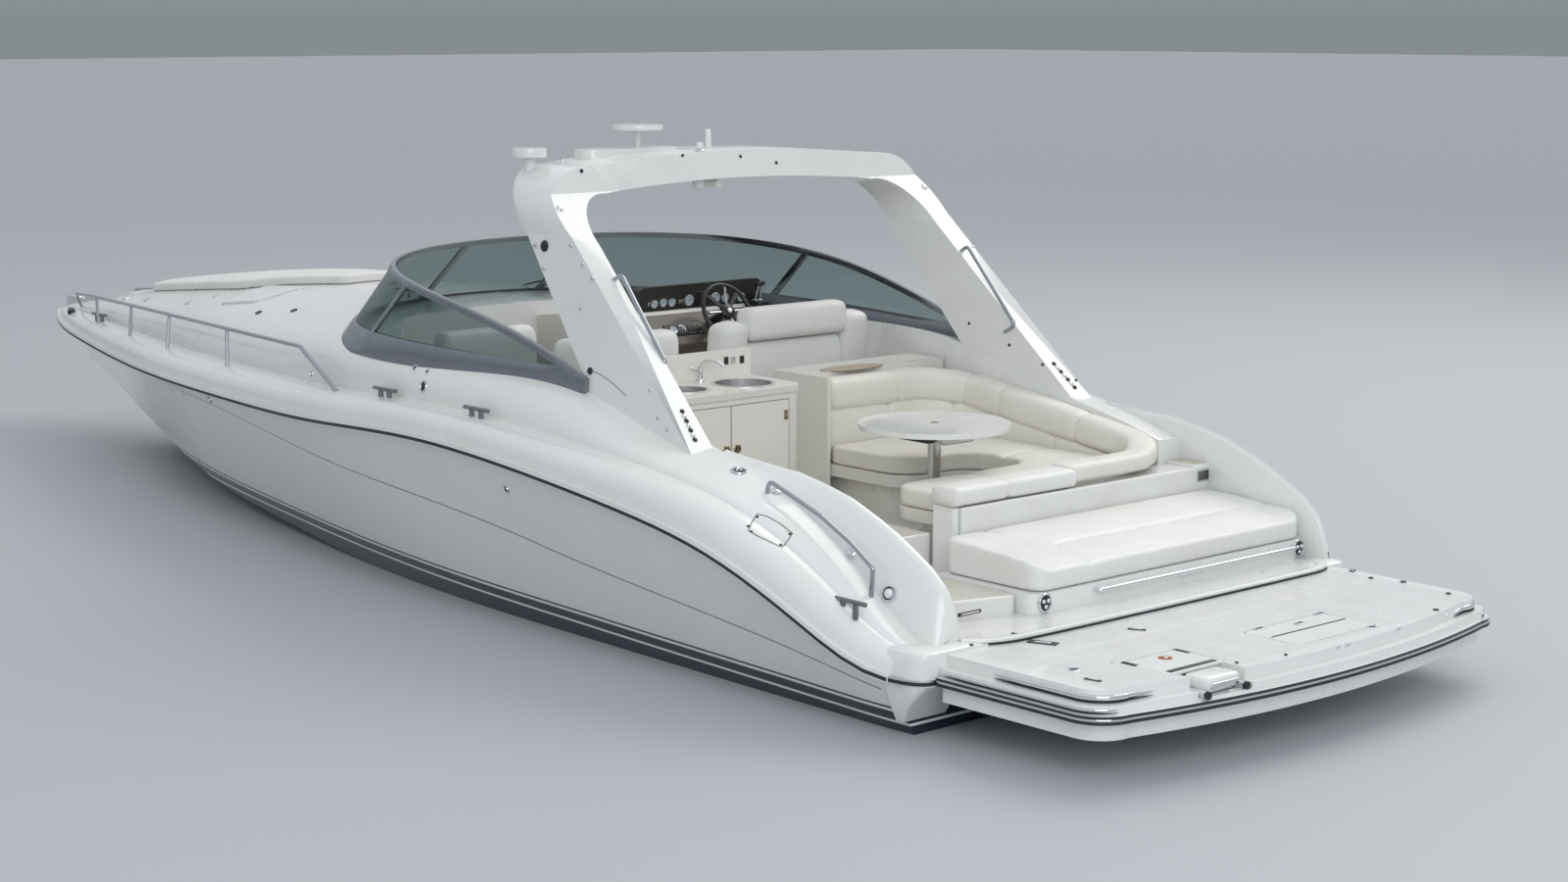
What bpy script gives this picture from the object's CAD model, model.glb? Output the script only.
from math import atan2, cos, exp, pi, radians, sin

import bmesh
import bpy
import numpy as np
from mathutils import Matrix, Vector, noise


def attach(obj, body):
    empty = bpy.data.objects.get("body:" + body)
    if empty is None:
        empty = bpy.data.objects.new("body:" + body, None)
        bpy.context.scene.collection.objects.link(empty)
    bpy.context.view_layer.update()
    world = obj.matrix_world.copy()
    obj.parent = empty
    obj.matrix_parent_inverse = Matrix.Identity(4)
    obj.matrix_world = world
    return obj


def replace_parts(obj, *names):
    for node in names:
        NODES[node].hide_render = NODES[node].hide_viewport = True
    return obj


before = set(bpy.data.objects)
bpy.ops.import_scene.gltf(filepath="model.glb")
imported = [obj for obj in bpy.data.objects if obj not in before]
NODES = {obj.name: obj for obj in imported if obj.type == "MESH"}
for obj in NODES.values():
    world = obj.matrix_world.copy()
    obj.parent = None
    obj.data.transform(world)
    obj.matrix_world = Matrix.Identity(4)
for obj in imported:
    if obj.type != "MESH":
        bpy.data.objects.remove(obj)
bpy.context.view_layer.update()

SCENE = bpy.context.scene
BOAT = "boat"
UP = Vector((0, 0, 1))
DOWN = -UP
FORE = Vector((1, 0, 0))
PORT = Vector((0, 1, 0))
SIDES = {"port": 1, "starboard": -1}
BOTH = (1, -1)
SUNK = 0.004  # how deep a fitting starts below the surface that carries it
# Profiles of a domed head and of a flange: shares of the radius, of the sunk depth and of the height
HEAD = ((1, 0, 0), (1, 1, 0.4), (0.75, 1, 0.85), (0.3, 1, 1))
FLANGE = ((1, 0, 0), (1, 1, 0.5), (0.92, 1, 1), (0.78, 1, 1), (0.70, 1, 0.3))


# Shape helpers
class Kit:
    """Collects small shapes into one piece that rides on one body, in its base material or others."""

    def __init__(self, name, body, base):
        self.name, self.body, self.materials = name, body, [base]
        self.verts, self.faces, self.slots = [], [], []

    def add(self, verts, faces, material=None):
        """Add a raw mesh in metres, in the base material unless one is given."""
        material = material or self.materials[0]
        if material not in self.materials:
            self.materials.append(material)
        first = len(self.verts)
        self.verts += [tuple(v) for v in verts]
        self.faces += [tuple(first + i for i in face) for face in faces]
        self.slots += [self.materials.index(material)] * len(faces)

    def loft(self, rings, material=None, closed=False):
        """Skin a row of equally long rings, with a face on each end unless the row is closed."""
        count, size = len(rings), len(rings[0])
        faces = []
        for i in range(count if closed else count - 1):
            low, high = i * size, (i + 1) % count * size
            for k in range(size):
                nxt = (k + 1) % size
                faces.append((low + k, low + nxt, high + nxt, high + k))
        if not closed:
            faces.append(tuple(reversed(range(size))))
            faces.append(tuple(range((count - 1) * size, count * size)))
        self.add([v for ring in rings for v in ring], faces, material)

    def lathe(self, centre, axis, profile, material=None, sides=32):
        """A turned shape: profile is radius and height pairs along the axis."""
        turn = Vector(axis).to_track_quat("Z", "Y").to_matrix()
        angles = [2 * pi * k / sides for k in range(sides)]
        rings = [[Vector(centre) + turn @ Vector((radius * cos(a), radius * sin(a), height)) for a in angles]
                 for radius, height in profile]
        self.loft(rings, material)

    def rod(self, start, end, radius, material=None, sides=16):
        """A straight round bar."""
        run = Vector(end) - Vector(start)
        self.lathe(start, run, [(radius, 0), (radius, run.length)], material, sides)

    def ball(self, centre, radius, material=None):
        """A round knob."""
        turns = [pi * t / 10 for t in range(1, 10)]
        self.lathe(centre, UP, [(radius * sin(a), -radius * cos(a)) for a in turns], material, 20)

    def stud(self, place, normal, radius, height, material=None, sides=14, profile=HEAD):
        """A small domed head, or another turned profile, sunk slightly in a surface."""
        rows = [(wide * radius, SUNK * sunk + tall * height) for wide, sunk, tall in profile]
        self.lathe(place - normal * SUNK, normal, rows, material, sides)

    def ring(self, place, normal, radius, rim, face, height=0.008):
        """A round flange with a raised rim and a sunk middle."""
        self.stud(place, normal, radius, height, rim, 28, FLANGE)
        middle = 0.72 * radius
        self.lathe(place - normal * 0.003, normal, [(middle, 0), (middle, 0.005 + 0.25 * height)], face, 28)

    def sweep(self, path, section, material=None, closed=False):
        """Carry a section of across and up offsets along a path; section may depend on the index."""
        points = [Vector(p) for p in path]
        last = len(points) - 1
        rings = []
        for i, point in enumerate(points):
            before = points[i - 1] if i or closed else point
            after = points[(i + 1) % len(points)] if i < last or closed else point
            along = (after - before).normalized()
            across = along.cross(UP)
            across = across.normalized() if across.length > 1e-4 else FORE
            rise = across.cross(along).normalized()
            shape = section(i) if callable(section) else section
            rings.append([point + across * u + rise * v for u, v in shape])
        self.loft(rings, material, closed)

    def tube(self, path, radius, material=None, sides=12, closed=False):
        """A round tube along a path."""
        angles = [2 * pi * k / sides for k in range(sides)]
        self.sweep(path, [(radius * cos(a), radius * sin(a)) for a in angles], material, closed)

    def box(self, size, at, bevel=0.003, material=None, turn=None):
        """A box with rounded edges, centred on a place and turned about it by a matrix if one is given."""
        work = bmesh.new()
        bmesh.ops.create_cube(work, size=1.0)
        bmesh.ops.scale(work, vec=size, verts=work.verts)
        rim = min(bevel, 0.45 * min(size))
        bmesh.ops.bevel(work, geom=work.edges[:], offset=rim, segments=3, profile=0.5, affect="EDGES")
        work.verts.index_update()
        verts = [(v.co if turn is None else turn @ v.co) + Vector(at) for v in work.verts]
        faces = [[v.index for v in face.verts] for face in work.faces]
        work.free()
        self.add(verts, faces, material)

    def boxes(self, rows, turn=None):
        """Boxes from rows of size, place, bevel and material, all with the same turn."""
        for size, at, bevel, material in rows:
            self.box(size, at, bevel, material, turn)

    def done(self, smooth_angle=40):
        """Make the object and put it on its body."""
        mesh = bpy.data.meshes.new(self.name)
        mesh.from_pydata(self.verts, [], self.faces)
        for material in self.materials:
            mesh.materials.append(material)
        mesh.polygons.foreach_set("material_index", self.slots)
        mesh.polygons.foreach_set("use_smooth", [True] * len(mesh.polygons))
        mesh.update()
        work = bmesh.new()
        work.from_mesh(mesh)
        bmesh.ops.recalc_face_normals(work, faces=work.faces)
        work.to_mesh(mesh)
        work.free()
        mesh.set_sharp_from_angle(angle=radians(smooth_angle))
        obj = bpy.data.objects.new(self.name, mesh)
        SCENE.collection.objects.link(obj)
        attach(obj, self.body)
        return obj


def between(x, table):
    """Height at x on a line through x and height pairs."""
    return float(np.interp(x, *zip(*table)))


def rounded(corners, step=0.02):
    """Points of a closed outline through corners of x, y and radius."""
    points = []
    for i, (x, y, radius) in enumerate(corners):
        corner = Vector((x, y))
        before = (Vector(corners[i - 1][:2]) - corner).normalized()
        after = (Vector(corners[(i + 1) % len(corners)][:2]) - corner).normalized()
        half = before.angle(after) / 2
        if radius <= 0:
            points.append(corner)
            continue
        centre = corner + (before + after).normalized() * (radius / sin(half))
        start = corner + before * (radius * cos(half) / sin(half)) - centre
        sweep = pi - 2 * half
        sign = 1 if before.x * after.y - before.y * after.x < 0 else -1
        parts = max(3, int(sweep * radius / step))
        for k in range(parts + 1):
            a = sign * sweep * k / parts
            turned = (start.x * cos(a) - start.y * sin(a), start.x * sin(a) + start.y * cos(a))
            points.append(centre + Vector(turned))
    return points


def resample(path, step):
    """Points at an even spacing along an open path."""
    points = [Vector(p) for p in path]
    lengths = [0.0]
    for a, b in zip(points, points[1:]):
        lengths.append(lengths[-1] + (b - a).length)
    count = max(2, int(round(lengths[-1] / step)) + 1)
    out = []
    for t in np.linspace(0, lengths[-1], count):
        i = min(int(np.searchsorted(lengths, t, side="right")) - 1, len(points) - 2)
        share = (t - lengths[i]) / max(lengths[i + 1] - lengths[i], 1e-9)
        out.append(points[i].lerp(points[i + 1], share))
    return out


def smooth_path(points, step=0.03, passes=0):
    """An even path through points, rounded by averaging."""
    path = resample(points, step)
    for _ in range(passes):
        inner = [(a + 2 * b + c) / 4 for a, b, c in zip(path, path[1:], path[2:])]
        path = [path[0], *inner, path[-1]]
    return path


def arc(centre, radius, start, stop, parts=14):
    """Points of an arc in plan, from one angle to another in degrees."""
    return [(centre[0] + radius * cos(radians(a)), centre[1] + radius * sin(radians(a)))
            for a in np.linspace(start, stop, parts)]


def squircle(half_across, half_up, power=3.0, sides=28):
    """A soft-cornered oblong section."""
    out = []
    for k in range(sides):
        a = 2 * pi * k / sides
        across, rise = (half * abs(v) ** (2 / power) * (1 if v >= 0 else -1)
                        for half, v in ((half_across, cos(a)), (half_up, sin(a))))
        out.append((across, rise))
    return out


def cast(name, start, direction):
    """The place and outward direction where a ray first meets a node, or None."""
    hit, place, normal, index = NODES[name].ray_cast(Vector(start), direction)
    return (place, (-normal if normal.dot(direction) > 0 else normal).normalized()) if hit else None


def deck_height(x, y, default):
    """Height of the deck at a place, or a default beside it."""
    seen = cast("deck", (x, y, 3.0), DOWN)
    return seen[0].z if seen else default


# Soft goods helpers
PINCH = ((0.10, 0.011), (0.035, 0.05))  # how much a roll narrows at a seam, and over what length
VALLEY = ((0.009, 0.014), (0.005, 0.05))  # how deep a slab dips along a seam, and over what width
RIPPLE = ((1.0, 7.0), (0.5, 19.0))  # strength and fineness of the creases


def eased_end(near, end, power):
    """Share of the full size close to a rounded end."""
    return 1.0 if near >= end else max(0.30, (1 - (1 - near / end) ** power) ** (1 / power))


def roll(name, body, path, half_across, half_up, material, seams=(), power=3.0, end=0.05, step=0.012):
    """A padded roll along a path, pinched at its seams; half_up may depend on the share of the way."""
    points = resample(path, step)
    length = step * (len(points) - 1)

    def section(i):
        along = i * step
        tall = half_up(along / length) if callable(half_up) else half_up
        pinch = 1.0
        for seam in seams:
            gap = along - seam * length
            pinch -= sum(depth * exp(-((gap / width) ** 2)) for depth, width in PINCH)
        pinch *= eased_end(min(along, length - along), end, 2.6)
        return squircle(half_across * pinch, tall * pinch, power)

    kit = Kit(name, body, material)
    kit.sweep(points, section)
    obj = kit.done(60)
    return obj


def line_gap(xy, line):
    """Distance of each plan point from a line of straight pieces."""
    best = np.full(len(xy), 1e9)
    corners = np.array([tuple(p) for p in line], float)
    for start, stop in zip(corners, corners[1:]):
        run = stop - start
        t = np.clip(((xy - start) @ run) / max(run @ run, 1e-12), 0, 1)
        best = np.minimum(best, np.linalg.norm(xy - start - t[:, None] * run, axis=1))
    return best


def read(mesh, field):
    """A field of a mesh's vertices, as rows of three numbers."""
    flat = np.zeros(len(mesh.vertices) * 3, np.float32)
    mesh.vertices.foreach_get(field, flat)
    return flat.reshape(-1, 3)


def slab(name, outline, low, high, voxel, rounds):
    """A closed slab over an outline with softened edges; high may depend on x and y."""
    work = bmesh.new()
    bottom = [work.verts.new((x, y, low)) for x, y in outline]
    top = [work.verts.new((x, y, high(x, y) if callable(high) else high)) for x, y in outline]
    for i in range(len(outline)):
        j = (i + 1) % len(outline)
        work.faces.new((bottom[i], bottom[j], top[j], top[i]))
    work.faces.new(top)
    work.faces.new(list(reversed(bottom)))
    bmesh.ops.recalc_face_normals(work, faces=work.faces)
    bmesh.ops.triangulate(work, faces=[f for f in work.faces if len(f.verts) > 4])
    mesh = bpy.data.meshes.new(name)
    work.to_mesh(mesh)
    work.free()
    obj = bpy.data.objects.new(name, mesh)
    SCENE.collection.objects.link(obj)
    remesh = obj.modifiers.new("remesh", "REMESH")
    remesh.mode = "VOXEL"
    remesh.voxel_size = voxel
    soft = obj.modifiers.new("soft", "SMOOTH")
    soft.iterations = rounds
    soft.factor = 0.5
    graph = bpy.context.evaluated_depsgraph_get()
    shaped = bpy.data.meshes.new_from_object(obj.evaluated_get(graph))
    obj.modifiers.clear()
    obj.data = shaped
    return obj


def cushion(name, body, outline, low, high, material, seams=(), voxel=0.013, rounds=7, crown=0.012,
            wrinkle=0.0015):
    """A padded slab with a crown, creases and valleys along its seams."""
    obj = slab(name, outline, low, high, voxel, rounds)
    shaped = obj.data
    co = read(shaped, "co").astype(float)
    upward = np.clip(read(shaped, "normal")[:, 2], 0, 1)
    edge = line_gap(co[:, :2], [*outline, outline[0]])
    lift = crown * (1 - np.exp(-((edge / 0.10) ** 2)))
    for seam in seams:
        gap = line_gap(co[:, :2], seam)
        lift -= sum(depth * np.exp(-((gap / width) ** 2)) for depth, width in VALLEY)
    ripple = np.array([sum(k * noise.noise(Vector(p) * fine) for k, fine in RIPPLE) for p in co])
    co[:, 2] += (lift + wrinkle * ripple) * upward
    shaped.vertices.foreach_set("co", co.astype(np.float32).ravel())
    shaped.materials.append(material)
    shaped.polygons.foreach_set("use_smooth", [True] * len(shaped.polygons))
    shaped.update()
    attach(obj, body)
    return obj


# Shader helpers
class Nodes:
    """Short calls for building a shader out of sums on the object's own coordinates."""

    def __init__(self, name, color, roughness, metallic=0.0, coat=0.0, **sockets):
        self.mat = bpy.data.materials.new(name)
        self.mat.use_nodes = True
        self.tree = self.mat.node_tree
        self.shader = self.tree.nodes["Principled BSDF"]
        self.set(Base_Color=(*color, 1), Roughness=roughness, Metallic=metallic, Coat_Weight=coat, **sockets)
        self.coords = self.new("TexCoord").outputs["Object"]
        self.x, self.y, self.z = self.new("SeparateXYZ", self.coords).outputs

    def new(self, kind, *values, **settings):
        """A shader node with its settings and its first inputs, each a number, a color or another output."""
        node = self.tree.nodes.new(f"ShaderNode{kind}")
        for field, value in settings.items():
            setattr(node, field, value)
        for socket, value in zip(node.inputs, values):
            if isinstance(value, bpy.types.NodeSocket):
                self.tree.links.new(value, socket)
            elif value is not None:
                socket.default_value = value
        return node

    def set(self, **sockets):
        for socket, value in sockets.items():
            self.shader.inputs[socket.replace("_", " ")].default_value = value

    def wire(self, socket, value):
        self.tree.links.new(value, self.shader.inputs[socket])

    def math(self, kind, *values):
        return self.new("Math", *values, operation=kind).outputs[0]

    def band(self, value, low, high):
        """1 between two values and 0 outside."""
        return self.math("COMPARE", value, (low + high) / 2, (high - low) / 2)

    def both(self, *masks):
        out = masks[0]
        for mask in masks[1:]:
            out = self.math("MULTIPLY", out, mask)
        return out

    def either(self, *masks):
        out = masks[0]
        for mask in masks[1:]:
            out = self.math("MAXIMUM", out, mask)
        return out

    def texture(self, kind, output, **values):
        node = self.new(kind, self.coords)
        for socket, value in values.items():
            node.inputs[socket].default_value = value
        return node.outputs[output]

    def noise(self, scale, detail=3.0, rough=0.5):
        return self.texture("TexNoise", "Fac", Scale=scale, Detail=detail, Roughness=rough)

    def voronoi(self, scale):
        return self.texture("TexVoronoi", "Distance", Scale=scale)

    def ramp(self, value, low, high, out_low=0.0, out_high=1.0):
        return self.new("MapRange", value, low, high, out_low, out_high, clamp=True).outputs[0]

    def mix(self, mask, a, b):
        """Color a where the mask is 0 and b where it is 1."""
        a, b = ((*color, 1) if isinstance(color, tuple) else color for color in (a, b))
        return self.new("Mix", mask, None, None, None, None, None, a, b, data_type="RGBA").outputs[2]

    def bump(self, height, strength, distance):
        node = self.new("Bump", strength, distance)
        self.tree.links.new(height, node.inputs["Height"])
        self.wire("Normal", node.outputs[0])

    def uneven(self, scale, detail, low, high):
        """A gloss that wanders between two roughnesses."""
        self.wire("Roughness", self.ramp(self.noise(scale, detail), 0.3, 0.7, low, high))

    def facing_up(self, low):
        """1 on faces that look upwards."""
        normal = self.new("NewGeometry").outputs["Normal"]
        return self.ramp(self.new("SeparateXYZ", normal).outputs[2], low, low + 0.1)


def weathered(name, color, roughness, coat, stain=0.05):
    """Gelcoat or moulding with faint patches, and a slightly uneven gloss."""
    n = Nodes(name, color, roughness, coat=coat)
    n.set(Coat_Roughness=0.06)
    patch = n.ramp(n.noise(1.3, 6, 0.65), 0.35, 0.75)
    red, green, blue = (c * (1 - stain) for c in color)
    n.base = n.mix(patch, color, (red, green * 0.995, blue * 0.97))
    n.wire("Base Color", n.base)
    n.uneven(6, 4, roughness * 0.75, roughness * 1.25)
    return n


def upholstery(name, color):
    """Marine vinyl: fine grain, soft sheen, and slight grime in patches."""
    n = Nodes(name, color, 0.42)
    patch = n.ramp(n.noise(2.6, 6, 0.7), 0.4, 0.8)
    grime = tuple(c * k for c, k in zip(color, (0.93, 0.915, 0.88)))
    n.wire("Base Color", n.mix(patch, color, grime))
    n.uneven(9, 4, 0.36, 0.52)
    n.bump(n.math("ADD", n.voronoi(420), n.math("MULTIPLY", n.noise(90, 3), 0.6)), 0.22, 0.0008)
    n.set(Sheen_Weight=0.08)
    return n.mat


def metal(name, color, roughness):
    """Polished or brushed metal with faint wiping marks."""
    n = Nodes(name, color, roughness, metallic=1.0)
    n.uneven(30, 4, roughness, roughness + 0.05)
    return n.mat


def plain(name, color, roughness, **sockets):
    """Moulded plastic or rubber with a slightly uneven gloss."""
    n = Nodes(name, color, roughness, **sockets)
    n.uneven(25, 4, roughness * 0.8, roughness * 1.2)
    return n.mat


WHITE = (0.80, 0.80, 0.785)
IVORY = (0.74, 0.715, 0.655)
BAR_IVORY = (0.76, 0.735, 0.67)
NAVY = (0.006, 0.009, 0.026)
gelcoat = weathered("gelcoat", WHITE, 0.24, 0.5).mat
liner = weathered("liner_ivory", IVORY, 0.34, 0.25).mat

# Hull sides: navy bottom under two white boot stripes that rise to the bow, and the styling line
BOOT_RISE = 0.0147
BOOT_TOP = 0.137
BOOT_STRIPES = ((0.109, 0.125), (0.046, 0.060))
STYLING_LINE = (
    (0.13, 0.234), (0.69, 0.321), (1.29, 0.388), (2.28, 0.489), (3.38, 0.614), (4.95, 0.711), (6.27, 0.80),
    (7.28, 0.845), (9.0, 0.88), (11.5, 0.90),
)
CURVE_LENGTH = 12.0
LINE_HALF_WIDTH = 0.0055


def curve_height(n, line, length):
    """Height of a line of x and z points at the surface's own x."""
    curve = n.new("FloatCurve")
    curve.mapping.use_clip = False
    points = curve.mapping.curves[0].points
    while len(points) < len(line):
        points.new(0.5, 0.5)
    for point, (x, z) in zip(points, line):
        point.location = (x / length, z)
    curve.mapping.update()
    n.tree.links.new(n.math("DIVIDE", n.x, length), curve.inputs["Value"])
    return curve.outputs[0]


n = weathered("hull_gelcoat", (0.79, 0.79, 0.785), 0.16, 0.8, stain=0.04)
level = n.math("SUBTRACT", n.z, n.math("MULTIPLY", n.x, BOOT_RISE))
stripes = n.either(*(n.band(level, low, high) for low, high in BOOT_STRIPES))
navy = n.both(n.math("LESS_THAN", level, BOOT_TOP), n.math("SUBTRACT", 1.0, stripes))
gap = n.math("ABSOLUTE", n.math("SUBTRACT", n.z, curve_height(n, STYLING_LINE, CURVE_LENGTH)))
line = n.both(n.math("LESS_THAN", gap, LINE_HALF_WIDTH), n.math("GREATER_THAN", n.x, 0.1))
with_line = n.mix(n.math("MULTIPLY", line, 0.72), n.base, (0.12, 0.125, 0.13))
n.wire("Base Color", n.mix(navy, with_line, NAVY))
hull_paint = n.mat

# Deck: gelcoat with fine non-skid on the flat aft deck, and a beige sole
n = weathered("deck_gelcoat", WHITE, 0.24, 0.5)
flat = n.facing_up(0.9)
aft_deck = n.both(flat, n.band(n.z, 0.42, 0.52), n.band(n.x, -0.14, 0.95))
sole = n.both(flat, n.band(n.z, 0.49, 0.51))
n.wire("Base Color", n.mix(sole, n.base, n.mix(n.noise(60, 2), (0.50, 0.45, 0.36), (0.60, 0.55, 0.46))))
n.bump(n.math("MULTIPLY", n.either(aft_deck, sole), n.voronoi(260)), 0.5, 0.0015)
deck_paint = n.mat

# Swim platform: white edge, panels of non-skid with smooth seams between them, and a dark rub line
SEAMS_ACROSS = ((-0.535, -0.52), (-0.262, -0.25))
SEAMS_ALONG = ((0.392, 0.408), (-0.708, -0.692), (1.092, 1.108))
n = weathered("platform_gelcoat", WHITE, 0.24, 0.5)
top = n.both(n.facing_up(0.9), n.band(n.z, 0.425, 0.436))
seams = n.either(*(n.band(axis, *seam) for axis, group in ((n.y, SEAMS_ALONG), (n.x, SEAMS_ACROSS))
                   for seam in group))
inside = n.both(n.band(n.x, -1.22, -0.25), n.band(n.y, -1.40, 1.40))
panel = n.both(top, inside, n.math("SUBTRACT", 1.0, seams))
grit = n.mix(n.ramp(n.noise(2.2, 5), 0.4, 0.7), (0.755, 0.755, 0.745), (0.725, 0.72, 0.70))
n.wire("Base Color", n.mix(n.band(n.z, 0.296, 0.330), n.mix(panel, n.base, grit), (0.012, 0.014, 0.022)))
n.bump(n.math("MULTIPLY", panel, n.voronoi(230)), 0.7, 0.0018)
platform_paint = n.mat

# Beige non-skid on the steps' tops
n = weathered("step_gelcoat", (0.77, 0.765, 0.74), 0.3, 0.4)
tread = n.both(n.facing_up(0.93), n.either(n.band(n.z, 0.692, 0.71), n.band(n.z, 0.532, 0.55)))
n.wire("Base Color", n.mix(tread, n.base, n.mix(n.noise(45, 3), (0.47, 0.43, 0.35), (0.58, 0.54, 0.455))))
n.bump(n.math("MULTIPLY", tread, n.voronoi(240)), 0.6, 0.0018)
step_paint = n.mat

# Cushions, metals and plastics
ivory = upholstery("vinyl_ivory", BAR_IVORY)
pad_white = upholstery("vinyl_white", (0.78, 0.775, 0.75))
chrome = metal("stainless", (0.72, 0.73, 0.75), 0.07)
satin = metal("stainless_satin", (0.60, 0.61, 0.62), 0.22)
bronze = metal("ring_bronze", (0.42, 0.34, 0.22), 0.25)
anodised = metal("anodised_frame", (0.30, 0.315, 0.35), 0.20)
bowl_steel = metal("bowl_steel", (0.78, 0.78, 0.78), 0.26)
rail_steel = metal("rail_steel", (0.40, 0.42, 0.46), 0.10)
cleat_steel = metal("cleat_steel", (0.24, 0.24, 0.25), 0.20)
black = plain("satin_black", (0.012, 0.012, 0.014), 0.32)
charcoal = plain("pod_charcoal", (0.032, 0.029, 0.026), 0.42)
rubber = plain("rubber", (0.02, 0.021, 0.025), 0.5)
enamel = plain("drive_enamel", (0.015, 0.016, 0.02), 0.25, coat=0.5)
iron = plain("engine_block", (0.25, 0.25, 0.26), 0.5)
lens = plain("lens_clear", (0.75, 0.78, 0.8), 0.08)
lens_red = plain("lens_red", (0.35, 0.015, 0.01), 0.1)
lens_green = plain("lens_green", (0.01, 0.12, 0.07), 0.1)
dial = plain("dial_face", (0.02, 0.022, 0.028), 0.15)
marking = plain("dial_marks", (0.56, 0.63, 0.68), 0.4)
screen_face = plain("screen_face", (0.02, 0.035, 0.05), 0.05)
rust = plain("rust_spot", (0.33, 0.12, 0.03), 0.8)
seam_dark = plain("seam_shadow", (0.16, 0.15, 0.135), 0.7)
glass = Nodes("tinted_glass", (0.33, 0.40, 0.40), 0.015, Transmission_Weight=1.0, IOR=1.18).mat

# Wet bar: ivory front below a counter with fine flecks
n = Nodes("bar_liner", BAR_IVORY, 0.3, coat=0.3)
counter = n.both(n.band(n.z, 1.325, 1.362), n.math("LESS_THAN", n.x, 2.583))
stone = n.mix(n.ramp(n.voronoi(190), 0.18, 0.30), (0.36, 0.32, 0.27), (0.68, 0.655, 0.60))
n.wire("Base Color", n.mix(counter, BAR_IVORY, stone))
bar_paint = n.mat

# Dash: ivory moulding with a dark brown panel below the instruments
n = weathered("dash_liner", IVORY, 0.34, 0.25)
panel = n.both(n.band(n.x, 4.25, 4.515), n.band(n.y, -1.45, -0.36), n.band(n.z, 1.19, 1.478))
n.wire("Base Color", n.mix(panel, n.base, n.mix(n.noise(12, 4), (0.060, 0.048, 0.036), (0.11, 0.088, 0.066))))
dash_paint = n.mat

# White table top on a bright post
n = weathered("table_top", (0.80, 0.79, 0.765), 0.14, 0.6)
post = n.math("LESS_THAN", n.z, 1.068)
n.wire("Metallic", post)
n.wire("Base Color", n.mix(post, n.base, (0.62, 0.62, 0.62)))
table_paint = n.mat

# The material of each CAD piece that isn't plain gelcoat, and the width of its edges' bevel
LOOKS = {
    hull_paint: "hull", deck_paint: "deck", platform_paint: "swim_platform", step_paint: "walkway_steps",
    anodised: "windscreen_frame", glass: "windscreen_glass", rail_steel: "bow_rails arch_rails coaming_rails",
    cleat_steel: "cleats", chrome: "bow_roller sunpad_rail platform_rails swim_ladder",
    charcoal: "instrument_pod", black: "steering_wheel steering_column cabin_door", bowl_steel: "sink",
    satin: "port_propeller starboard_propeller port_trim_tab starboard_trim_tab", bar_paint: "wet_bar",
    liner: "bar_door_port bar_door_starboard helm_seat_base companion_seat_base settee_base aft_console",
    table_paint: "table", dash_paint: "dash_console", iron: "engines",
    enamel: " ".join(f"{side}_{piece}" for side in SIDES for piece in ("transom_shield", "gimbal", "drive")),
}
BEVELS = {
    0.003: "bow_roller swim_ladder",
    0.004: "bar_door_port bar_door_starboard cleats cabin_door windscreen_frame",
    0.005: "platform_hatch ladder_lid", 0.006: "walkway_steps table",
    0.008: "wet_bar port_gimbal starboard_gimbal",
    0.010: "anchor_locker_lid deck", 0.012: "swim_platform seat_box foredeck_hatch settee_base arch_fittings",
    0.014: "engine_hatch aft_console port_transom_shield starboard_transom_shield",
    0.016: "port_drive starboard_drive", 0.018: "instrument_pod", 0.020: "dash_console", 0.030: "arch",
}
MATERIALS = {name: material for material, names in LOOKS.items() for name in names.split()}
BEVEL_OF = {name: width for width, names in BEVELS.items() for name in names.split()}
for name, node in NODES.items():
    node.data.materials.clear()
    node.data.materials.append(MATERIALS.get(name, gelcoat))
    if name in BEVEL_OF:
        weld = node.modifiers.new("weld", "WELD")
        weld.merge_threshold = 0.00005
        bevel = node.modifiers.new("bevel", "BEVEL")
        bevel.width = BEVEL_OF[name]
        bevel.segments = 3
        bevel.limit_method = "ANGLE"
        bevel.angle_limit = radians(38)
        bevel.harden_normals = False


# Soft goods, each in place of its plain CAD piece
# Settee back: from the port end of the forward leg, along the side, and round into the aft roll
BACK_FORE_X = 2.622
BACK_AFT_X = 0.847
BACK_SIDE_Y = -1.277
BACK_TOP = ((0.80, 0.968), (0.96, 1.03), (1.82, 1.168), (2.38, 1.245), (2.75, 1.30))
BACK_DROP = ((0.85, 0.055), (1.2, 0.085), (1.8, 0.098))  # from the top line to the middle of the upper roll
BACK_HALF = ((0.85, 0.054), (1.2, 0.085), (1.8, 0.098))  # half the upper roll's height
BACK_FOOT_Z = 0.80
BACK_SPLIT = 0.185  # from the top line to the seam between the rolls
plan = [
    (BACK_FORE_X, -0.262), (BACK_FORE_X, -0.90), *arc((2.272, -0.927), 0.35, 0, -90), (2.20, BACK_SIDE_Y),
    (1.15, BACK_SIDE_Y), *arc((1.15, -0.977), 0.30, -90, -178), (BACK_AFT_X, -0.85), (BACK_AFT_X, -0.40),
]
plan = [(p.x, p.y) for p in resample([(x, y, 0) for x, y in plan], 0.03)]


def stepped(values):
    """Looks a list up by the share of the way along it."""
    return lambda share: values[min(int(share * (len(values) - 1)), len(values) - 1)]


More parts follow.
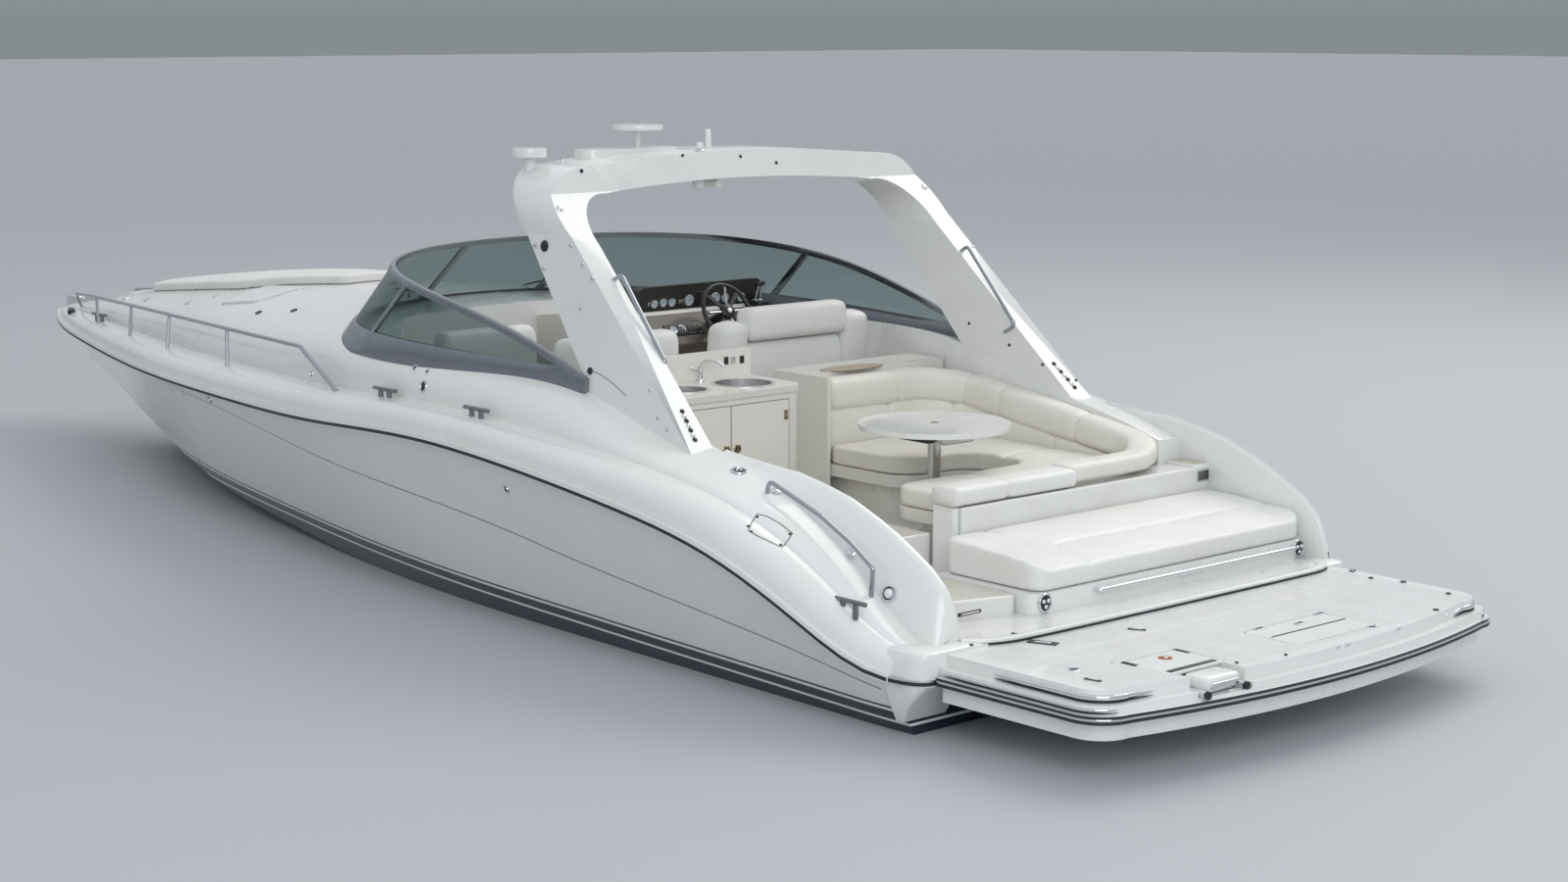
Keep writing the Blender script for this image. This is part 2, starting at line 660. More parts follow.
upper = [(x, y, between(x, BACK_TOP) - between(x, BACK_DROP)) for x, y in plan]
roll("settee_back_upper", BOAT, upper, 0.088, stepped([between(x, BACK_HALF) for x, y in plan]), ivory,
     seams=(0.165, 0.325, 0.415, 0.60, 0.795), power=3.2)
side_plan = [(x, y) for x, y in plan if x > 1.0]
lower = [(x, y, (BACK_FOOT_Z + between(x, BACK_TOP) - BACK_SPLIT) / 2) for x, y in side_plan]
lower_half = [max(0.05, (between(x, BACK_TOP) - BACK_SPLIT - BACK_FOOT_Z) / 2 + 0.012) for x, y in side_plan]
back_lower = roll("settee_back_lower", BOAT, lower, 0.070, stepped(lower_half), ivory,
                  seams=(0.20, 0.40, 0.51, 0.74), power=4.5, end=0.04)
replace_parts(back_lower, "settee_back")

# Settee seat: one upholstered slab with a round lobe; corners of x, y and radius
SEAT = (
    (2.549, -0.245, 0.05), (2.549, -1.203, 0.25), (0.966, -1.203, 0.03), (0.966, 0.36, 0.06),
    (1.37, 0.36, 0.12), (1.37, -0.76, 0.20), (1.88, -0.76, 0.20), (1.88, -0.245, 0.22),
)
SEAT_SEAMS = (
    ((1.90, -0.80), (2.55, -0.80)), ((1.62, -0.76), (1.62, -1.20)), ((1.37, -0.80), (0.97, -0.80)),
    ((0.97, -0.20), (1.37, -0.20)),
)
seat = cushion("settee_seat_cushion", BOAT, rounded(SEAT), 0.786, 0.893, ivory, seams=SEAT_SEAMS, crown=0.010)
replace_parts(seat, "settee_seat")

# Aft backrest: a roll over a panel that hangs in front of the seat box
ROLL_Z = 0.913
PANEL = ((0.735, -1.44, 0.01), (0.768, -1.44, 0.01), (0.768, 0.45, 0.01), (0.735, 0.45, 0.012))
roll_line = [(BACK_AFT_X, y, ROLL_Z) for y in (-0.46, 0.495)]
aft_roll = roll("aft_backrest_roll", BOAT, roll_line, 0.100, 0.054, pad_white, seams=(0.565,), power=3.6,
                end=0.035)
cushion("aft_backrest_panel", BOAT, rounded(PANEL, 0.005), 0.704, 0.862, pad_white, voxel=0.009, rounds=4,
        crown=0.0, wrinkle=0.0005)
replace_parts(aft_roll, "aft_backrest")

# Sun pad on the hatch, with a bolster marked off by a seam at its aft edge
SUN_PAD = ((0.052, -1.528, 0.08), (0.720, -1.528, 0.06), (0.720, 0.600, 0.05), (0.052, 0.600, 0.09))
SUN_TOP = (
    (0.05, 0.648), (0.09, 0.684), (0.15, 0.706), (0.25, 0.718), (0.36, 0.716), (0.60, 0.722), (0.72, 0.735),
)
SUN_SEAMS = (
    ((0.05, 0.20), (0.30, 0.20), (0.35, 0.15), (0.365, 0.05), (0.365, -1.40), (0.30, -1.53)),
    ((0.41, 0.30), (0.72, 0.30)),
)
sun = cushion("sunpad_slab", "engine_hatch", rounded(SUN_PAD), 0.546, lambda x, y: between(x, SUN_TOP),
              pad_white, seams=SUN_SEAMS, voxel=0.012, rounds=12)
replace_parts(sun, "sunpad_cushion")

# Foredeck pad: a flat slab, then laid on the deck's crown with two seams across it
PAD_PLAN = (
    (7.1, -0.23, 0.08), (8.2, -0.46, 0.6), (10.15, -0.17, 0.09),
    (10.15, 0.17, 0.09), (8.2, 0.46, 0.6), (7.1, 0.23, 0.08),
)
PAD_LOW, PAD_HIGH = 1.0, 1.2
PAD_THICKNESS = 0.062
PAD_SEAMS_X = (8.05, 9.1)
pad_line = rounded(PAD_PLAN, 0.05)
foredeck = cushion("foredeck_cushion", BOAT, pad_line, PAD_LOW, PAD_HIGH, pad_white, voxel=0.022, rounds=4,
                   crown=0.0, wrinkle=0.0)
edge_gap = line_gap(read(foredeck.data, "co")[:, :2].astype(float), [*pad_line, pad_line[0]])
heights = {}
for vertex, edge in zip(foredeck.data.vertices, edge_gap):
    key = (round(vertex.co.x, 2), round(vertex.co.y, 2))
    if key not in heights:
        heights[key] = deck_height(*key, PAD_HIGH)
    swell = PAD_THICKNESS + 0.008 * (1 - exp(-((edge / 0.09) ** 2)))
    swell -= sum(0.010 * exp(-(((vertex.co.x - x) / 0.02) ** 2)) for x in PAD_SEAMS_X)
    vertex.co.z = heights[key] + 0.001 + swell * (vertex.co.z - PAD_LOW) / (PAD_HIGH - PAD_LOW)
foredeck.data.update()
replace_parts(foredeck, "foredeck_pad")

# Helm seat: two back rolls between two side bolsters, on a thick squab
HELM_X = 3.345
HELM_Y = -0.675
HELM_HALF = 0.41
BOLSTER_OUT = 0.495
BOLSTER_STEP = 0.012
BOLSTER_LEAN = ((0.10, 1.0), (0.06, 1.30), (0.03, 1.56))  # x ahead of the back, and height
SQUAB_LOW, SQUAB_HIGH = 0.867, 0.972
HELM_SQUAB = ((3.30, -1.285, 0.05), (3.785, -1.285, 0.08), (3.785, -0.065, 0.08), (3.30, -0.065, 0.05))
for row, (low, high, thick) in enumerate(((0.985, 1.425, 0.064), (1.430, 1.635, 0.088))):
    z = (low + high) / 2
    x = HELM_X + 0.05 * (1 - (z - 0.98) / 0.7)
    roll(f"helm_seat_row_{row}", BOAT, [(x, HELM_Y - HELM_HALF, z), (x, HELM_Y + HELM_HALF, z)], thick,
         (high - low) / 2, pad_white, power=3.4, end=0.06)
for name in ("starboard", "port"):
    y = HELM_Y + SIDES[name] * BOLSTER_OUT
    points = smooth_path([(HELM_X + lean, y, z) for lean, z in BOLSTER_LEAN], BOLSTER_STEP, 30)
    rings = []
    for i, point in enumerate(points):
        k = eased_end(min(i, len(points) - 1 - i) * BOLSTER_STEP, 0.07, 2.4)
        rings.append([point + Vector((v, u, 0)) for u, v in squircle(0.112 * k, 0.105 * k)])
    kit = Kit(f"helm_seat_bolster_{name}", BOAT, pad_white)
    kit.loft(rings)
    bolster = kit.done(60)
squab = cushion("helm_squab", BOAT, rounded(HELM_SQUAB), SQUAB_LOW, SQUAB_HIGH, pad_white,
                seams=(((3.30, HELM_Y), (3.785, HELM_Y)),), crown=0.014)
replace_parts(squab, "helm_seat_cushions")

# Companion seats: one squab between two backs; each back's x, top, height of its split, and inboard end
COMPANION_SQUAB = ((3.14, 0.625, 0.04), (4.22, 0.625, 0.04), (4.22, 1.335, 0.04), (3.14, 1.335, 0.04))
COMPANION_BACKS = {"fore": (4.292, 1.53, 1.20, 0.63), "aft": (3.068, 1.60, 1.375, 0.50)}
companion = cushion("companion_squab", BOAT, rounded(COMPANION_SQUAB), SQUAB_LOW, SQUAB_HIGH, pad_white,
                    seams=(((3.68, 0.625), (3.68, 1.335)),), crown=0.014)
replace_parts(companion, "companion_cushions")
for name, (x, top, split, inboard) in COMPANION_BACKS.items():
    for row, low, high, thick, seam in ((0, 0.872, split, 0.068, 0.5), (1, split + 0.005, top, 0.086, 0.26)):
        z = (low + high) / 2
        roll(f"companion_{name}_row_{row}", BOAT, [(x, inboard, z), (x, 1.33, z)], thick, (high - low) / 2,
             pad_white, seams=(seam,), power=3.4, end=0.07)

# Camera at the photograph's place
CAMERA_AT = Vector((-8.478, 9.763, 3.377))
CAMERA_YAW = radians(-41.23)
CAMERA_PITCH = radians(9.38)
LENS = 58.65
SENSOR = 36.0
PHOTO_WIDTH, PHOTO_HEIGHT = 1600, 900
LOOK = Vector((cos(CAMERA_YAW) * cos(CAMERA_PITCH), sin(CAMERA_YAW) * cos(CAMERA_PITCH), -sin(CAMERA_PITCH)))
camera_data = bpy.data.cameras.new("camera")
camera_data.sensor_width = SENSOR
camera_data.lens = LENS
camera_data.clip_end = 500
camera = bpy.data.objects.new("camera", camera_data)
SCENE.collection.objects.link(camera)
camera.location = CAMERA_AT
camera.rotation_euler = LOOK.to_track_quat("-Z", "Y").to_euler()
SCENE.camera = camera


# Places of fittings
def sight(pixel, *names):
    """Where the line through a pixel of the photograph, or one close by, first meets a named piece."""
    right = LOOK.cross(UP).normalized()
    rise = right.cross(LOOK)
    scale = SENSOR / LENS / PHOTO_WIDTH
    for reach in (0, 4, 8, 12, 18, 26):
        for step_x, step_y in ((0, 1), (0, -1), (-1, 0), (1, 0)):
            across = (pixel[0] + reach * step_x - PHOTO_WIDTH / 2) * scale
            up = (PHOTO_HEIGHT / 2 - pixel[1] - reach * step_y) * scale
            ray = (LOOK + right * across + rise * up).normalized()
            found = []
            for name in names:
                piece = NODES.get(name) or bpy.data.objects[name]
                hit, place, normal, index = piece.ray_cast(CAMERA_AT, ray)
                if hit:
                    outward = normal if normal.dot(ray) < 0 else -normal
                    found.append(((place - CAMERA_AT).length, place.copy(), outward))
            if found:
                gap, place, normal = min(found, key=lambda entry: entry[0])
                return place, normal.normalized()
    return None


def sighted(table, *names):
    """Rows of a table that begin with a pixel's x and y, with the place and direction seen there instead."""
    for x, y, *rest in table:
        seen = sight((x, y), *names)
        if seen:
            yield (*seen, *rest)


def on_side(side, v):
    """A place or direction, mirrored for the starboard side."""
    return Vector((v.x, side * v.y, v.z))


def facing(out):
    """A turn that lays X on an outward direction and keeps Y to port."""
    return Matrix([out, PORT, out.cross(PORT)]).transposed()


def spin(degrees):
    return Matrix.Rotation(radians(degrees), 3, "Z")


def bead(back, foot, shoulder, half, nose):
    """Section of a strip with a blunt nose, as across and up offsets."""
    return [(back, -foot), (shoulder, -half), (nose, 0), (shoulder, half), (back, foot)]


# Rub rail's insert: a dark strip with a bright one above it, round the bow from quarter to quarter
RAIL_SHEER = (
    (0, 0.312), (0.48, 0.512), (1.07, 0.772), (1.79, 0.912), (2.62, 0.997), (3.57, 1.047), (4.76, 1.002),
    (6.19, 0.95), (7.74, 0.912), (9.16, 0.882), (10.59, 0.867), (11.48, 0.884), (11.9, 0.917),
)
RAIL_XS = [*np.arange(0.005, 11.7, 0.12), 11.76, 11.82, 11.87]
BOW_X = 11.931
RAIL_TOP_TO_MIDDLE = 0.024


def rail_middle():
    """Points round the middle of the rub rail's outer face, from the port quarter to the starboard one."""
    port = []
    for x in RAIL_XS:
        sheer = between(x, RAIL_SHEER)
        best = None
        for dz in np.arange(-0.05, 0.051, 0.01):
            seen = cast("rub_rail", (x, 3.0, sheer + dz), -PORT)
            if seen and (best is None or seen[0].y > best + 0.002):
                best = seen[0].y
        above = best and cast("rub_rail", (x, best - 0.008, sheer + 0.3), DOWN)
        if above:
            port.append(Vector((x, best, above[0].z - RAIL_TOP_TO_MIDDLE)))
    port.append(Vector((BOW_X, port[-1].y - 0.03, port[-1].z)))
    return [*port, Vector((BOW_X, 0, port[-1].z)), *(on_side(-1, p) for p in reversed(port))]


rail_line = rail_middle()
kit = Kit("rub_rail_insert", BOAT, rubber)
kit.sweep([p - UP * 0.010 for p in rail_line], bead(0.005, 0.008, -0.004, 0.008, -0.007), rubber)
kit.sweep([p + UP * 0.003 for p in rail_line], bead(0.005, 0.005, -0.006, 0.003, -0.008), chrome)
kit.done(50)

# Raised fins on the aft coamings, which carry the inner walls up beside the sun pad and the walkway
FIN_TOP = (
    (-0.092, 0.47), (-0.075, 0.55), (-0.02, 0.675), (0.09, 0.772), (0.20, 0.835), (0.32, 0.90), (0.45, 0.957),
    (0.65, 1.033), (0.85, 1.078), (1.04, 1.110), (1.25, 1.150), (1.50, 1.195), (1.80, 1.235),
)
FIN_FOOT_Z = 0.42
FIN_START_X, FIN_END_X, FIN_STEP = -0.09, 1.60, 0.03
FIN_FALL = (0, 0.25, 0.5, 0.75, 1.0)  # shares of the way down the outer face


def fin(name, inner, outer, rim):
    """A wall with a rounded rim whose outer face slopes down to the side deck."""
    side = SIDES[name]
    rings = []
    for x in np.arange(FIN_START_X, FIN_END_X + 0.02, FIN_STEP):
        deck_z = deck_height(x, side * (outer + 0.004), 0.44)
        fade = min(max((FIN_END_X - x) / 0.55, 0.0), 1.0)
        top = deck_z + (between(x, FIN_TOP) - deck_z) * fade + 0.004
        drop = min(deck_z, top) - 0.03 - (top - 0.02)
        wide = rim if top - deck_z > 0.04 else rim * 0.8
        reach = inner + wide
        section = [(inner, FIN_FOOT_Z), (inner, top - 0.032), (inner + 0.008, top - 0.012),
                   (inner + 0.022, top - 0.002), (inner + wide * 0.5, top), (reach - 0.016, top - 0.004)]
        section += [(reach + (outer - reach) * t, top - 0.02 + drop * t ** 1.25) for t in FIN_FALL]
        rings.append([Vector((x, side * y, z)) for y, z in [*section, (outer, FIN_FOOT_Z)]])
    kit = Kit(f"coaming_fin_{name}", BOAT, gelcoat)
    kit.loft(rings)
    kit.done(50)


fin("port", 1.283, 1.474, 0.070)
fin("starboard", 1.553, 1.590, 0.030)
bpy.context.view_layer.update()

# Quarter blocks that carry the topsides on to the platform; levels of height, inset and reach aft
QUARTER = ((0.05, 1.30, 0.0), (0.05, 1.662, 0.0), (-0.192, 1.655, 0.10), (-0.192, 1.30, 0.02))
QUARTER_LEVELS = (
    (0.075, 0.085, 0.0), (0.16, 0.045, 0.06), (0.235, 0.020, 0.13), (0.285, 0.008, 0.186),
    (0.330, 0.002, 0.192), (0.420, 0.018, 0.192), (0.438, 0.026, 0.186), (0.446, 0.045, 0.170),
)
QUARTER_EDGE = [
    (0.03, 1.682), (-0.09, 1.662),
    *((-0.092 - 0.1 * sin(radians(a)), 1.555 + 0.1 * cos(radians(a))) for a in range(10, 91, 16)),
    (-0.195, 1.50),
]
for name, side in SIDES.items():
    kit = Kit(f"quarter_block_{name}", BOAT, gelcoat)
    kit.loft([[Vector((max(x, -reach) if x < 0 else x, side * (y - inset if y > 1.45 else y), z))
               for x, y in rounded(QUARTER)] for z, inset, reach in QUARTER_LEVELS], gelcoat)
    edge = [Vector((x, side * y, 0.302)) for x, y in QUARTER_EDGE[::side]]
    kit.sweep(edge, bead(0.006, 0.009, -0.006, 0.008, -0.008), rubber)
    kit.sweep([p + UP * 0.014 for p in edge], bead(0.006, 0.005, -0.007, 0.003, -0.009), chrome)
    kit.done(40)


# Chrome and dark strips round the platform's edge
def circle_through(a, b, c, parts):
    """Points of the circle through three plan points, from the first to the last."""
    (ax, ay), (bx, by), (cx, cy) = a, b, c
    a2, b2, c2 = ax * ax + ay * ay, bx * bx + by * by, cx * cx + cy * cy
    d = 2 * (ax * (by - cy) + bx * (cy - ay) + cx * (ay - by))
    ux = (a2 * (by - cy) + b2 * (cy - ay) + c2 * (ay - by)) / d
    uy = (a2 * (cx - bx) + b2 * (ax - cx) + c2 * (bx - ax)) / d
    radius = ((ax - ux) ** 2 + (ay - uy) ** 2) ** 0.5
    start = atan2(ay - uy, ax - ux)
    to_middle = (atan2(by - uy, bx - ux) - start) % (2 * pi)
    to_end = (atan2(cy - uy, cx - ux) - start) % (2 * pi)
    if to_middle > to_end:
        to_end -= 2 * pi
    return [(ux + radius * cos(start + to_end * k / parts), uy + radius * sin(start + to_end * k / parts))
            for k in range(parts + 1)]


def platform_edge(inset):
    """Plan of the platform's edge, from the port fore corner round to the starboard one."""
    side = 1.56 - inset
    end = (-1.225 + inset, side - 0.20)
    corner = circle_through((-1.02, side - 0.012), (-1.165 + 0.7 * inset, side - 0.062), end, 14)
    port = [(-0.205, side), (-0.5, side - 0.0045), (-0.8, side - 0.009), *corner]
    aft = circle_through(end, (-1.38 + inset, 0), (end[0], -end[1]), 40)
    return port + aft[1:-1] + [(x, -y) for x, y in reversed(port)]


kit = Kit("platform_edge_strips", BOAT, rubber)
edge = [Vector((x, y, 0.299)) for x, y in platform_edge(0.0)]
kit.sweep(edge, bead(-0.006, 0.008, 0.005, 0.007, 0.007), rubber)
kit.sweep([p + UP * 0.014 for p in edge], bead(-0.006, 0.006, 0.006, 0.005, 0.008), chrome)
kit.done(50)

# Rub strips on the platform's corners: inset, height, fore end's x, length left out, half width, half height
RUB_STRIPS = ((0.072, 0.394, -0.215, 1.215, 0.013, 0.014), (0.026, 0.352, -0.18, 1.06, 0.011, 0.010))
STRIP_STEP = 0.02


def strip_section(count, half_across, half_up, ends=10):
    """Section of a rub strip that tapers at its ends."""
    def section(i):
        near = min(i, count - 1 - i) / ends
        k = 1.0 if near >= 1 else max(0.12, (1 - (1 - near) ** 2) ** 0.5)
        return squircle(half_across * k, half_up * k, 2.4, 16)
    return section


strips = Kit("platform_rub_strips", BOAT, chrome)
for side in BOTH:
    for inset, z, fore_x, length, across, rise in RUB_STRIPS:
        corner = [(x, side * y, z) for x, y in platform_edge(inset)[:20] if x < fore_x]
        path = resample(corner, STRIP_STEP)[:int(length / STRIP_STEP)]
        strips.sweep(path, strip_section(len(path), across, rise), chrome)
        below = [p - UP * (rise + 0.004) for p in path]
        strips.sweep(below, strip_section(len(path), across * 0.9, 0.004), rubber)
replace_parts(strips.done(60), "platform_rails")

# Moulded lip of the aft deck over the platform's fore edge
LIP_Z = 0.440
LIP = (
    (-0.10, 1.30), (-0.17, 1.22), (-0.215, 1.08), (-0.222, 0.8), (-0.226, 0.0),
    (-0.222, -0.9), (-0.215, -1.30), (-0.18, -1.42), (-0.10, -1.47),
)
LIP_SECTION = (
    (-0.050, -0.012), (0.026, -0.012), (0.030, 0.002), (0.027, 0.014), (0.012, 0.018), (-0.016, 0.017),
    (-0.044, 0.004),
)
GASKET_SECTION = ((0.004, -0.006), (-0.006, -0.006), (-0.006, 0.005), (0.004, 0.005))
lip_path = smooth_path([(x, y, LIP_Z) for x, y in LIP], 0.03, 4)
kit = Kit("aft_deck_lip", BOAT, gelcoat)
kit.sweep(lip_path, LIP_SECTION, gelcoat)
kit.sweep([p + Vector((-0.031, 0, -0.003)) for p in lip_path], GASKET_SECTION, rubber)
kit.done(60)

# Small fittings let into the platform and the aft deck, at pixels of the photograph
PLATFORM_TOPS = ("swim_platform", "platform_hatch", "ladder_lid", "deck")
PLATFORM_STUDS = (
    (1136, 676, 0.009, satin), (991, 658.6, 0.012, black), (1465.3, 622.5, 0.016, black),
    (1478, 606, 0.014, black), (1432, 576, 0.018, black), (1399, 572, 0.014, black),
    (1290, 584, 0.011, satin), (1225, 690, 0.009, satin), (1365, 660, 0.012, chrome),
    (1375, 657, 0.012, chrome),
    (1427, 641, 0.012, chrome), (1476, 628, 0.010, chrome), (1312, 668.5, 0.009, black),
    (1262, 676.5, 0.009, black),
)
PLATFORM_RINGS = ((1096, 683.5, 0.030), (1400, 640, 0.024))
FOLDED_CLEATS = (  # pixel x and y, turn, length and width
    (1064, 656, 25, 0.15, 0.055), (1160, 642.5, 30, 0.09, 0.022), (1115, 694, 12, 0.085, 0.022),
    (1038, 647, 20, 0.06, 0.020), (1380, 578.5, -65, 0.05, 0.03),
)
kit = Kit("platform_fittings", BOAT, chrome)
for place, normal, radius, material in sighted(PLATFORM_STUDS, *PLATFORM_TOPS):
    kit.stud(place, normal, radius, 0.008, material)
for place, normal, radius in sighted(PLATFORM_RINGS, *PLATFORM_TOPS):
    kit.ring(place, UP, radius, chrome, black, 0.004)
for place, normal, turn, long, wide in sighted(FOLDED_CLEATS, *PLATFORM_TOPS):
    kit.box((long, wide, 0.010), place, 0.003, black, spin(turn))
    kit.box((long * 0.56, wide * 0.70, 0.012), place, 0.003, chrome, spin(turn))
kit.done()

# Platform hatch: three flush latches and a line along its edge, on the hatch itself
HATCH_TOP = 0.431
HATCH_LATCHES = ((-0.845, -0.02, HATCH_TOP), (-0.905, -0.26, HATCH_TOP), (-0.845, -0.50, HATCH_TOP))
LATCH_PARTS = (((0.036, 0.070, 0.008), chrome), ((0.024, 0.052, 0.009), black))
kit = Kit("platform_hatch_latches", "platform_hatch", black)
kit.boxes((size, at, 0.003, material) for at in HATCH_LATCHES for size, material in LATCH_PARTS)
hatch_edge = [(-0.99, y, HATCH_TOP + 0.0005) for y in (0.07, -0.51)]
kit.tube(smooth_path(hatch_edge, 0.05), 0.0025, black, 6)
kit.done()

# Ladder lid: dark finger slots and a rust spot beside its fastener
LADDER_Y = 0.79
LID_TOP = 0.4295
LID_SLOTS = (
    ((0.032, 0.330, 0.0075), (-1.095, LADDER_Y, LID_TOP), 0.003, black),
    ((0.090, 0.024, 0.007), (-0.88, LADDER_Y - 0.185, LID_TOP), 0.003, black),
    ((0.090, 0.024, 0.007), (-0.88, LADDER_Y + 0.185, LID_TOP), 0.003, black),
)
SPOT = (-0.915, 0.765, 0.4285)
kit = Kit("ladder_lid_fittings", "ladder_lid", black)
kit.boxes(LID_SLOTS)
kit.lathe(SPOT, UP, [(0.038, 0), (0.036, 0.0022), (0.030, 0.0030)], rust, 22)
kit.lathe(Vector(SPOT) + UP * 0.0005, UP, [(0.013, 0), (0.013, 0.005), (0.008, 0.007)], satin, 16)
kit.done(40)

# Ladder: moulded step between the tubes, with a bright plate and black tube ends
TUBE_Z = 0.356
TUBE_OUT = 0.138
TUBE_SLEEVE = ((0.0165, 0.06), (0.0185, 0.10), (0.0185, 0.195), (0.0165, 0.20))
TUBE_END = ((0.0195, 0), (0.0195, 0.018), (0.014, 0.022))
STEP_AND_PLATE = (
    ((0.150, 0.236, 0.068), (-1.214, LADDER_Y, 0.392), 0.022, gelcoat),
    ((0.012, 0.190, 0.028), (-1.291, LADDER_Y, 0.386), 0.005, chrome),
)
kit = Kit("ladder_step", BOAT, gelcoat)
kit.boxes(STEP_AND_PLATE)
for y in (LADDER_Y - TUBE_OUT, LADDER_Y + TUBE_OUT):
    kit.lathe((-1.10, y, TUBE_Z), -FORE, TUBE_SLEEVE, chrome, 20)
    kit.lathe((-1.298, y, TUBE_Z), -FORE, TUBE_END, black, 20)
kit.done()

# Docking lights, one each side of the sun pad's locker, and the latches under the pad
LIGHT_FACE = Vector((-1, 0, 0.05)).normalized()
LIGHT_RIM = ((0.052, 0), (0.052, 0.010), (0.047, 0.016), (0.041, 0.016), (0.038, 0.011))
LIGHT_DISH = ((0.039, 0), (0.039, 0.009), (0.026, 0.013), (0.010, 0.015))
LIGHTS_AT = (Vector((0.040, 0.565, 0.497)), Vector((0.040, -1.475, 0.497)))
LATCHES = (
    ((0.012, 0.090, 0.024), (0.037, -0.52, 0.492), 0.005, chrome),
    ((0.012, 0.056, 0.024), (0.037, -0.64, 0.492), 0.005, chrome),
)
kit = Kit("docking_lights", "engine_hatch", chrome)
for place in LIGHTS_AT:
    kit.lathe(place - LIGHT_FACE * 0.006, LIGHT_FACE, LIGHT_RIM, chrome, 36)
    kit.lathe(place - LIGHT_FACE * 0.004, LIGHT_FACE, LIGHT_DISH, black, 30)
    for a in (radians(30), radians(150), radians(270)):
        kit.ball(place + Vector((-0.007, 0.019 * cos(a), 0.019 * sin(a))), 0.012, chrome)
kit.boxes(LATCHES)
kit.done()

# Low step: slot handle on its aft face, ring pull and hinges on its tread
TREAD_Z = 0.541
RING_PULL = Vector((0.52, 0.92, TREAD_Z - 0.0005))
HANDLE_AND_HINGE = (
    ((0.012, 0.160, 0.020), (0.118, 1.02, 0.502), 0.008, black),
    ((0.016, 0.128, 0.008), (0.117, 1.02, 0.502), 0.004, satin),
    ((0.100, 0.020, 0.007), (0.66, 1.12, TREAD_Z), 0.003, satin),
)
TURNED_HINGE = ((0.070, 0.024, 0.007), (0.40, 0.99, TREAD_Z), 0.003, black)
kit = Kit("step_fittings", BOAT, satin)
kit.boxes(HANDLE_AND_HINGE)
kit.box(*TURNED_HINGE, spin(20))
kit.ring(RING_PULL, UP, 0.036, chrome, black, 0.004)
kit.done()

# Port quarter: filler cap, outline of an access plate with its screws, stern light and rail bases, at pixels
COAMING = ("deck", "coaming_fin_port")
CAP_PIXEL = (754, 481)
STERN_LIGHT_PIXEL = (908, 606)
PLATE = (
    (772.9, 524.5), (783, 527), (797, 535), (808.6, 544.5), (803, 553),
    (797.9, 558.6), (786, 553), (772, 546.5), (763.5, 541), (767, 533),
)
PLATE_SCREWS = ((772.8, 527.5), (806, 545), (796.8, 556), (766.5, 542.5), (763.6, 537))
RAIL_BASES = ((792.5, 502), (868, 565))
kit = Kit("quarter_fittings", BOAT, chrome)
place, normal = sight(CAP_PIXEL, "deck")
kit.ring(place, normal, 0.046, chrome, black, 0.010)
for x, y in ((0.014, 0), (0, 0.014), (-0.014, 0), (0, -0.014)):
    kit.ball(place + Vector((x, y, 0.008)), 0.006, chrome)
outline = [tuple(p * (1 - t) + q * t for p, q in zip(a, b))
           for a, b in zip(PLATE, PLATE[1:] + PLATE[:1]) for t in (0, 0.34, 0.67)]
kit.tube([place + normal * 0.0006 for place, normal in sighted(outline, "deck")], 0.0028, seam_dark, 6, True)
for place, normal in sighted(PLATE_SCREWS, "deck"):
    kit.stud(place, normal, 0.008, 0.005, black, 12)
place, normal = sight(STERN_LIGHT_PIXEL, *COAMING)
kit.ring(place, normal, 0.043, chrome, black, 0.016)
kit.ball(place + normal * 0.006, 0.026, lens)
for place, normal in sighted(RAIL_BASES, *COAMING):
    kit.stud(place, normal, 0.030, 0.016, chrome, 20)
kit.done()

# Hull fittings, the same on both sides: outlets at pixels, and the eye on the stem
OUTLETS = (
    (214.5, 407.5, 0.026), (187, 401, 0.014), (517, 499, 0.024), (741, 578, 0.010), (744, 571, 0.010),
    (868, 647, 0.013), (902, 675, 0.02),
)
STEM_EYE = ((11.62, 0, 0.62), (11.56, 0, 0.53))
kit = Kit("hull_fittings", BOAT, chrome)
for place, normal, radius in sighted(OUTLETS, "hull"):
    for side in BOTH:
        kit.ring(on_side(side, place), on_side(side, normal), radius, chrome, black, 0.010)
kit.rod(*STEM_EYE, 0.009, chrome)
kit.done()

# Side deck fittings on both sides: vents and small drains near the windscreen
VENTS = ((423.9, 375.5, 0.020), (436.5, 379.5, 0.014), (432.4, 394.5, 0.036), (318.6, 381.5, 0.020))
kit = Kit("side_deck_fittings", BOAT, chrome)
for place, normal, radius in sighted(VENTS, "deck"):
    for side in BOTH:
        kit.ring(on_side(side, place), on_side(side, normal), radius, chrome, black)
kit.done()

# Helm instruments on the pod's aft face; a dial's y, z, radius, whether it is light, and its needle's turn
POD_LOW = Vector((4.5, 0, 1.5))
POD_HIGH = Vector((4.47, 0, 1.665))
POD_OUT = (POD_HIGH - POD_LOW).cross(PORT).normalized()
DIALS = (
    (-0.480, 1.553, 0.031, True, -60), (-0.553, 1.556, 0.031, True, 20), (-0.625, 1.553, 0.031, True, -30),
    (-0.770, 1.556, 0.040, True, 40), (-0.992, 1.556, 0.040, True, -80),
    (-1.078, 1.553, 0.030, True, 10), (-1.215, 1.548, 0.034, True, -20),
)
BUTTONS_Y = (-0.434, -0.693, -0.712)
ROCKERS_Y = (-1.295, -1.32, -1.345)
POD_BOXES = (  # size, y, z, bevel and material: the screen, the buttons and the rockers
    ((0.014, 0.124, 0.096), -0.881, 1.562, 0.006, black),
    ((0.0125, 0.104, 0.074), -0.881, 1.564, 0.003, screen_face),
    *(((0.012, 0.014, 0.024), y, 1.552, 0.003, satin) for y in BUTTONS_Y),
    *(((0.011, 0.018, 0.040), y, 1.548, 0.003, black) for y in ROCKERS_Y),
    *(((0.0095, 0.012, 0.020), y, 1.548, 0.002, satin) for y in ROCKERS_Y),
)


